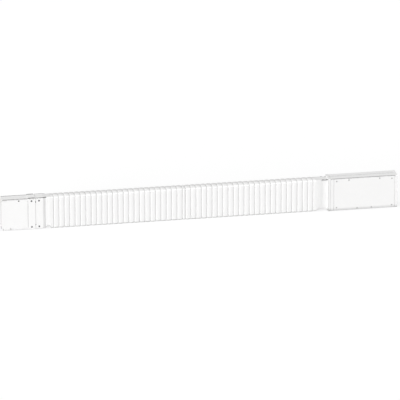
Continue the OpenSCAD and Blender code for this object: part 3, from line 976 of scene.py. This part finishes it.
@dataclass
class Bead:
    """A thin dark bead, straight from one point to another along an axis, that paints a line of shade
    along an edge, fold or seam.

    Its rings are square to the axis. From each end, at the distances of tip, they swell by
    the shares of swell from a point to the full radius.
    """

    name: str
    radius: float
    tip: tuple[float, ...] = (0.0, 0.4 * MM, 1.5 * MM)
    swell: tuple[float, ...] = (0.0, 0.7, 1.0)
    spokes: int = 12

    def build(self, shop: FinishShop, start: Triple, length: float, axis: int = 0) -> None:
        """Makes the bead.

        Args:
            shop: where the finish comes from.
            start: the end with the lower coordinate.
            length: the bead's length.
            axis: the axis that it runs along, 0 for X and 2 for Z.
        """
        tip, swell = np.array(self.tip), np.array(self.swell) * self.radius
        radius = np.concatenate([swell, swell[::-1]])[:, None]
        waves = dict(zip((k for k in range(3) if k != axis), ring(self.spokes)))
        places = [start[k] + radius * waves.get(k, 0.0) for k in range(3)]
        places[axis] = start[axis] + np.concatenate([tip, length - tip[::-1]])[:, None]
        shop.fit(grid_object(self.name, grid_points(*places)), Finish.CORD)


# ---- fasteners


@dataclass
class PanScrew:
    """A pan-head screw with a cross recess, turned as one surface from pole to pole.

    Shares are of the head's radius: the crown's height, the head's height, the shank's
    radius, and the recess's depth, the slopes of its walls and the slope of its ends.
    """

    node: str
    finish: Finish
    spokes: int = 48
    crown: float = 0.28
    head_h: float = 0.5
    shank: float = 0.5
    recess: float = 0.30
    cross: Pair = (0.09, 0.17)
    reach: Pair = (0.45, 0.58)
    tip: float = 0.3 * MM
    rings: tuple[float, ...] = (
        0.0, 0.06, 0.12, 0.18, 0.26, 0.34, 0.42, 0.48, 0.54, 0.6, 0.7, 0.8, 0.88, 0.94, 0.98, 1.0)

    def build(self, shop: FinishShop) -> None:
        """Makes the screw in place of its node.

        Args:
            shop: where the finishes come from.
        """
        lo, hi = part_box(self.node)
        middle, head_r = (lo + hi) / 2, (hi.x - lo.x) / 2
        radius, depth, recessed = self._profile(head_r, hi.y - lo.y).T[:, :, None]
        cos, sin = ring(self.spokes)
        across, up = radius * cos, radius * sin
        arm = np.minimum(np.abs(across), np.abs(up))
        recessed = recessed * (1.0 - smooth_step(arm, *(share * head_r for share in self.cross)))
        recessed = recessed * (1.0 - smooth_step(radius, *(share * head_r for share in self.reach)))
        depth = depth + recessed * self.recess * head_r
        y = lo.y + depth if middle.y < 0 else hi.y - depth
        piece = grid_object(
            self.node + "_head", grid_points(middle.x + across, y, middle.z + up), sharp_angle=38.0)
        shop.fit(piece, self.finish, self.node)

    def _profile(self, head_r: float, length: float) -> Array:
        """Rings from the head's pole to the shank's tip: radius, depth and recess share.

        The crown is a flat dome: its depth grows with the cube of the ring's radius.

        Args:
            head_r: the head's radius.
            length: the whole screw's length.

        Returns:
            Array of shape (rings, 3).
        """
        crown = [(share, self.crown * share**3, 1.0) for share in self.rings]
        head_h, shank_r = self.head_h * head_r, self.shank * head_r
        rest = (
            (head_r, head_h, 0.0), (shank_r, head_h, 0.0), (shank_r, length - self.tip, 0.0),
            (shank_r - self.tip, length, 0.0), (0.0, length, 0.0))
        return np.concatenate([np.array(crown) * (head_r, head_r, 1.0), rest])


@dataclass
class Rivet:
    """A domed rivet head, turned from pole to pole."""

    node: str
    dome_h: float = 0.8 * MM
    shank: float = 0.6
    spokes: int = 32

    def build(self, shop: FinishShop) -> None:
        """Makes the rivet in place of its node: the dome falls with the square of the radius.

        Args:
            shop: where the finishes come from.
        """
        lo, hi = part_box(self.node)
        middle, head_r, length = (lo + hi) / 2, (hi.x - lo.x) / 2, hi.y - lo.y
        shank_r = head_r * self.shank
        dome = [(head_r * share, self.dome_h * share**2) for share in np.linspace(0.0, 1.0, 10)]
        rest = [(shank_r, self.dome_h), (shank_r, length), (0.0, length)]
        radius, depth = np.array(dome + rest).T[:, :, None]
        cos, sin = ring(self.spokes)
        points = grid_points(middle.x + radius * cos, lo.y + depth, middle.z + radius * sin)
        shop.fit(grid_object(self.node + "_dome", points), Finish.BOX_PAINT, self.node)


# ---- sub-assemblies


class SubAssembly:
    """Nodes of the frame that keep their shape and take a finish, and pieces built anew.

    COATS and SCREWS give a finish for all nodes whose names begin alike. Of two rows of
    COATS that fit a node, the later one counts.
    """

    COATS: tuple[tuple[str, Finish], ...] = ()
    SCREWS: tuple[tuple[str, Finish], ...] = ()

    def dress(self, nodes: Nodes, shop: FinishShop) -> None:
        """Coats the nodes, turns the screws and builds the other pieces.

        Args:
            nodes: the frame's nodes by name.
            shop: where the finishes come from.
        """
        for start, finish in self.COATS:
            for name in (n for n in nodes if n.startswith(start)):
                shop.coat(nodes[name], finish)
        for start, finish in self.SCREWS:
            for name in sorted(n for n in nodes if n.startswith(start)):
                PanScrew(name, finish).build(shop)
        self.build(shop)

    def build(self, shop: FinishShop) -> None:
        """Builds the pieces that are new or replace nodes, other than screws."""
        raise NotImplementedError


@dataclass
class EndCasing(SubAssembly):
    """The four casing sheets with their pale seals and a dark cord that paints a shade line, the
    contact carrier and the bars.
    """

    COATS = (
        ("casing_", Finish.CASING_PAINT), ("lid_gasket_", Finish.PALE_SEAL),
        ("contact_carrier", Finish.INSULATOR), ("contact_bar_", Finish.TINNED_COPPER),
    )

    lip: Stations = (
        (-20.5, 25.4, 149.1, 0.0, 0.0), (-20.0, 25.4, 149.2, 1.0, 0.7), (38.0, 25.4, 149.2, 1.0, 0.6),
        (60.0, 25.4, 149.2, 1.0, 0.45), (96.0, 25.4, 149.2, 1.0, 0.5), (96.5, 25.4, 149.1, 0.0, 0.0),
    )

    def build(self, shop: FinishShop) -> None:
        """Lays the dark cord under the lid's lip, a painted shade line."""
        ShadeCord("lid_lip", self.lip).build(shop, "lid_gasket_front", "casing_lid")


@dataclass
class SaddlePair(SubAssembly):
    """The two saddles, their eight screws, and the dark cords, beads and plugs that paint the shade of
    their slots, edge and tool slots.
    """

    COATS = (("saddle_left", Finish.SADDLE_PAINT), ("saddle_right", Finish.SADDLE_PAINT))
    SCREWS = (("saddle_screw_", Finish.SCREW_STEEL),)

    left_slot: Stations = (
        (-0.7, 25.6, 150.8, 0.0, 0.0), (-0.5, 25.6, 150.8, 1.6, 0.9), (4.0, 25.5, 150.8, 2.0, 1.4),
        (29.0, 25.5, 150.8, 2.0, 1.4), (31.0, 26.2, 150.4, 1.4, 1.2), (34.4, 26.9, 148.8, 1.2, 1.3),
        (34.6, 26.9, 148.8, 0.0, 0.0),
    )
    right_slot: Stations = (
        (1.2, 26.2, 150.3, 0.0, 0.0), (1.4, 26.2, 150.3, 1.2, 0.6), (15.0, 26.2, 150.3, 1.2, 0.8),
        (20.0, 26.2, 150.3, 1.4, 0.9), (33.6, 26.2, 150.3, 1.4, 0.85), (33.8, 26.2, 150.3, 0.0, 0.0),
    )
    edge_bead: float = 0.8 * MM
    edge_inset: float = 1.4 * MM
    edge_ends: Pair = (5.0 * MM, 8.0 * MM)
    plug_half: Pair = (1.6 * MM, 3.0 * MM)
    plug_rise: float = 54.0 * MM
    plug_squareness: float = 0.6

    def build(self, shop: FinishShop) -> None:
        """Lays the dark cords over the slots, the dark beads down the edge and the dark plugs, all
        painted shade.

        Args:
            shop: where the finishes come from.
        """
        for name, stations in (("saddle_left", self.left_slot), ("saddle_right", self.right_slot)):
            # dark cords that paint the shade in the saddles' slots
            ShadeCord(name + "_shade_cord", stations).build(shop, name, name)
        lo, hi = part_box("saddle_left")
        low, high = lo.z + self.edge_ends[0], hi.z - self.edge_ends[1]
        for y, label in ((lo.y + self.edge_inset, "front"), (hi.y - self.edge_inset, "back")):
            start = (lo.x + 0.1 * MM, y, low)
            Bead(f"saddle_bead_{label}", self.edge_bead).build(shop, start, high - low, axis=2)
        self._plugs(shop)

    def _plugs(self, shop: FinishShop) -> None:
        """Dark plugs in the four tool slots across the gap between the saddles, painting the shade of
        the slots.

        Args:
            shop: where the finishes come from.
        """
        lo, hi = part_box("saddle_left")
        middle_x, middle_z = (hi.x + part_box("saddle_right")[0].x) / 2, (lo.z + hi.z) / 2
        half_x, half_z = self.plug_half
        across, up = ring(24, self.plug_squareness)
        swell = np.array([0.0, 0.85, 1.0, 1.0, 0.0])[:, None]
        inward = np.array([1.2, 1.2, 1.6, 6.2, 6.2])[:, None] * MM
        for level, rise in (("upper", self.plug_rise), ("lower", -self.plug_rise)):
            for face, side, label in ((lo.y, 1.0, "front"), (hi.y, -1.0, "back")):
                points = grid_points(
                    middle_x + half_x * swell * across, face + side * inward,
                    middle_z + rise + half_z * swell * up)
                shop.fit(grid_object(f"slot_shade_plug_{level}_{label}", points), Finish.CORD)


@dataclass
class FlexibleRun(SubAssembly):
    """Necks, sleeves, joining band, and the conductors inside them."""

    COATS = (("flexible_link_", Finish.COPPER), ("earth_braid", Finish.COPPER))

    left_stations: Stations = (
        (0.0, 25.5, 4.5, 147.5, 1.5), (33.5, 25.5, 4.5, 147.5, 1.5), (33.6, 27.0, 3.0, 149.0, 3.0),
        (68.3, 27.0, 3.0, 149.0, 3.0), (68.4, 27.0, 3.0, 150.9, 3.0), (71.4, 27.0, 3.0, 150.9, 3.5),
        (80.2, 23.0, 4.6, 150.9, 5.0), (82.5, 23.2, 5.0, 150.9, 5.0), (87.2, 24.2, 11.2, 150.9, 5.5),
        (99.5, 26.6, 11.2, 150.8, 6.0), (101.7, 27.0, 5.0, 150.6, 6.0), (103.7, 27.2, 4.5, 150.2, 6.0),
        (103.8, 25.6, 2.6, 148.4, 5.0), (113.7, 25.6, 2.6, 148.4, 5.0),
    )
    right_stations: Stations = (
        (0.0, 25.6, 2.6, 148.4, 5.0), (9.9, 25.6, 2.6, 148.4, 5.0), (10.0, 27.2, 3.0, 149.9, 5.0),
        (19.5, 27.0, 8.0, 149.9, 5.0), (27.0, 26.4, 11.2, 149.9, 3.0), (46.5, 23.1, 8.6, 149.9, 3.0),
        (65.7, 23.2, 3.0, 149.9, 3.0),
    )
    left_cord: Stations = (
        (68.4, 25.2, 149.7, 0.0, 0.0), (68.5, 25.2, 149.7, 1.4, 1.3), (72.0, 25.0, 149.7, 1.4, 1.3),
        (76.0, 23.0, 149.7, 1.4, 1.3), (80.2, 20.9, 149.6, 1.4, 1.2), (82.5, 21.2, 149.6, 0.9, 0.8),
        (84.0, 21.5, 149.6, 0.4, 0.4), (84.5, 21.6, 149.6, 0.0, 0.0),
    )
    right_cord: Stations = (
        (36.0, 22.9, 148.9, 0.0, 0.0), (37.0, 22.7, 148.9, 0.9, 0.8), (41.0, 22.3, 148.9, 1.5, 1.4),
        (45.0, 22.0, 148.7, 1.5, 1.4), (49.0, 22.7, 147.9, 1.2, 0.9), (56.0, 22.7, 147.9, 1.2, 0.9),
        (60.0, 22.0, 148.8, 1.5, 1.4), (65.5, 21.9, 149.1, 1.5, 1.5), (65.5, 21.9, 149.1, 0.0, 0.0),
    )
    left_groove: Quad = (33.0 * MM, 33.5 * MM, 80.0 * MM, 88.0 * MM)
    right_groove: Quad = (32.0 * MM, 38.0 * MM, 90.0 * MM, 91.0 * MM)

    def build(self, shop: FinishShop) -> None:
        """Builds the necks, the dark cords that paint the shade in their grooves, the sleeves and the
        band.

        Args:
            shop: where the finishes come from.
        """
        for name, stations, groove_run, groove_z in (
            ("neck_left", self.left_stations, self.left_groove, (148.4 * MM, 150.6 * MM)),
            ("neck_right", self.right_stations, self.right_groove, (147.0 * MM, 149.6 * MM)),
        ):
            Neck(name, stations, groove_run, groove_z).build(shop)
        # dark cords in the necks' grooves: painted shade
        for name, cord in (("neck_left", self.left_cord), ("neck_right", self.right_cord)):
            ShadeCord(name + "_cord", cord).build(shop, name, name)
        PleatedSleeve("sleeve_left", seed=7).build(shop)
        PleatedSleeve("sleeve_right", seed=11, mirrored=True).build(shop)
        JoiningBand().build(shop)


@dataclass
class JointBox(SubAssembly):
    """Shells, end caps, cover with its seal and screws, rivets, and the joint block inside."""

    # The left end cap takes a darker copy of the box paint, a painted shade.
    COATS = (
        ("box_", Finish.BOX_PAINT), ("box_end_left", Finish.CAP_PAINT),
        ("cover_plate", Finish.COVER_PAINT), ("cover_gasket", Finish.PALE_SEAL),
        ("jaw_", Finish.TINNED_COPPER), ("jaw_carrier", Finish.INSULATOR),
    )
    SCREWS = (("cover_screw_", Finish.COVER_SCREW),)

    flange_w: float = 9.5 * MM
    end_gap: float = 4.0 * MM
    seam_half: Pair = (0.95 * MM, 0.45 * MM)

    def build(self, shop: FinishShop) -> None:
        """Builds the rivets and lays the dark beads that paint shade lines.

        Args:
            shop: where the finishes come from.
        """
        for name in ("rivet_left", "rivet_right"):
            Rivet(name).build(shop)
        self._seam_bead(shop)
        self._upright_beads(shop)
        self._level_beads(shop)

    def _upright_beads(self, shop: FinishShop) -> None:
        """Dark beads down the left cap's corner and flange and down both ends of the cover, painting
        lines of shade.

        Args:
            shop: where the finishes come from.
        """
        cap_lo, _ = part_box("box_end_left")
        shell_lo, shell_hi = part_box("box_front")
        cover_lo, cover_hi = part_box("cover_plate")
        low, high = shell_lo.z + self.end_gap, shell_hi.z - self.end_gap
        for label, radius, x, y in (
            ("cap_corner", 0.35 * MM, cap_lo.x, cap_lo.y + 0.3 * MM),
            ("cap_flange", 0.3 * MM, cap_lo.x + self.flange_w, cap_lo.y + 0.6 * MM),
            ("cover_left", 0.5 * MM, cover_lo.x, cover_lo.y + 1.0 * MM),
            ("cover_right", 0.25 * MM, cover_hi.x, cover_lo.y + 1.0 * MM),
        ):
            Bead(label + "_bead", radius).build(shop, (x, y, low), high - low, axis=2)

    def _level_beads(self, shop: FinishShop) -> None:
        """Dark beads along the top fold, along the left cap's seam and above the cover's seal,
        painting lines of shade.

        Args:
            shop: where the finishes come from.
        """
        cap_lo, cap_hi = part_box("box_end_left")
        shell_lo, shell_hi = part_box("box_front")
        strip_lo, strip_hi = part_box("cover_gasket")
        fold_y, fold_z = shell_lo.y + 1.3 * MM, shell_hi.z - 0.55 * MM
        seam_y, seam_z = middle_y("box_end_left") - 9.0 * MM, cap_hi.z - 0.3 * MM
        strip_y, strip_z = shell_lo.y + 0.5 * MM, strip_hi.z + 0.5 * MM
        cap_x = cap_lo.x + 1.0 * MM
        for label, radius, start, end in (
            ("fold", 0.5 * MM, (strip_lo.x, fold_y, fold_z), strip_hi.x),
            ("cap_fold", 0.5 * MM, (cap_x, fold_y, fold_z), strip_lo.x - 1.0 * MM),
            ("cap_seam", 0.3 * MM, (cap_x, seam_y, seam_z), cap_hi.x - 1.0 * MM),
            ("strip", 0.65 * MM, (strip_lo.x, strip_y, strip_z), strip_hi.x),
        ):
            Bead(label + "_bead", radius).build(shop, start, end - start[0])

    def _seam_bead(self, shop: FinishShop) -> None:
        """A flat dark bead in the groove between the shells, an ellipse along X, painting the groove's
        shade.

        Args:
            shop: where the finishes come from.
        """
        left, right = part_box("box_end_left")[1].x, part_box("box_end_right")[0].x
        y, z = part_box("box_front")[1].y + 1.0 * MM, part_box("box_back")[1].z - 0.6 * MM
        half_y, half_z = self.seam_half
        cos, sin = ring(20)
        run = np.array([left, left + 0.2 * MM, right - 0.2 * MM, right])[:, None]
        swell = np.array([0.0, 1.0, 1.0, 0.0])[:, None]
        points = grid_points(run, y + half_y * swell * cos, z + half_z * swell * sin)
        shop.fit(grid_object("seam_bead", points), Finish.CORD)


# ---- studio


@dataclass(frozen=True)
class Studio:
    """The camera, the floor and the lights."""

    azimuth: float = 10.1
    elevation: float = 20.8
    distance: float = 20.8
    lens: float = 412.5
    sensor_width: float = 36.0
    clip_end: float = 200.0
    aim_right: float = 0.0008
    aim_up: float = 0.0039
    world_level: float = 0.74
    key_level: float = 0.62
    key_from: Triple = (-0.62, -0.76, 0.20)
    key_spread: float = 25.0
    floor_size: float = 60.0
    floor_tone: float = 0.50
    seen_glow: float = 0.75
    seen_tone: float = 0.30

    def build(self, lo: Array, hi: Array) -> None:
        """Places camera, floor and lights round the object's box.

        Args:
            lo: the box's lowest corner.
            hi: the box's highest corner.
        """
        self._camera(Vector((lo + hi) / 2))
        self._floor(float(lo[2]))
        self._lights()

    def _camera(self, centre: Vector) -> None:
        """A long lens from the front left, a little above.

        Args:
            centre: the middle of the object's box.
        """
        a, e = math.radians(self.azimuth), math.radians(self.elevation)
        back = Vector((-math.sin(a) * math.cos(e), -math.cos(a) * math.cos(e), math.sin(e)))
        right = Vector((math.cos(a), -math.sin(a), 0.0))
        up = right.cross(-back)
        data = bpy.data.cameras.new("camera")
        data.lens = self.lens
        data.sensor_width = self.sensor_width
        data.clip_end = self.clip_end
        camera = new_object("camera", data)
        camera.location = centre + right * self.aim_right + up * self.aim_up + back * self.distance
        camera.rotation_mode = "QUATERNION"
        camera.rotation_quaternion = (-back).to_track_quat("-Z", "Y")
        bpy.context.scene.camera = camera

    def _floor(self, level: float) -> None:
        """A pale floor that the camera sees near white, with the object's shadow kept.

        Args:
            level: the floor's height.
        """
        half = self.floor_size / 2
        signs = ((-1, -1), (1, -1), (1, 1), (-1, 1))
        mesh = bpy.data.meshes.new("floor")
        mesh.from_pydata([(x * half, y * half, level) for x, y in signs], [], [(0, 1, 2, 3)])
        material = bpy.data.materials.new("floor")
        tree = self._bare_tree(material)
        lit = tree.add("BsdfDiffuse", grey(self.floor_tone))
        seen = tree.add("BsdfDiffuse", grey(self.seen_tone))
        glow = tree.add("Emission", grey(1.0), self.seen_glow)
        tree.close("OutputMaterial", tree.add("AddShader", seen, glow), lit)
        mesh.materials.append(material)
        floor = new_object("floor", mesh)
        floor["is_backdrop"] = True

    @staticmethod
    def _bare_tree(owner: bpy.types.ID) -> NodeTree:
        """Turns the nodes of a material or world on and empties them.

        Args:
            owner: the material or world.

        Returns:
            The empty tree's wrapper.
        """
        owner.use_nodes = True
        owner.node_tree.nodes.clear()
        return NodeTree(owner.node_tree)

    def _lights(self) -> None:
        """An even white surround and one broad lamp from the left."""
        scene = bpy.context.scene
        world = bpy.data.worlds.new("surround")
        tree = self._bare_tree(world)
        plain = tree.add("Background", grey(1.0), self.world_level)
        white = tree.add("Background", grey(1.0), 1.0)
        tree.close("OutputWorld", white, plain)
        scene.world = world
        lamp = bpy.data.lights.new("key", "SUN")
        lamp.energy = self.key_level * math.pi
        lamp.angle = math.radians(self.key_spread)
        key = new_object("key", lamp)
        key.rotation_mode = "QUATERNION"
        key.rotation_quaternion = Vector(self.key_from).to_track_quat("Z", "Y")
        scene.view_settings.view_transform = "Standard"


def main() -> None:
    """Builds the studio, then each sub-assembly in its order along the run."""
    logging.basicConfig(level=logging.INFO, format="%(message)s")
    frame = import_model()
    frame_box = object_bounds()
    Studio().build(np.array(frame_box[0]), np.array(frame_box[1]))
    shop = FinishShop()
    for part in (EndCasing(), SaddlePair(), FlexibleRun(), JointBox()):
        part.dress(frame["nodes"], shop)
        log.info("dressed %s", type(part).__name__)


if __name__ == "__main__":
    main()
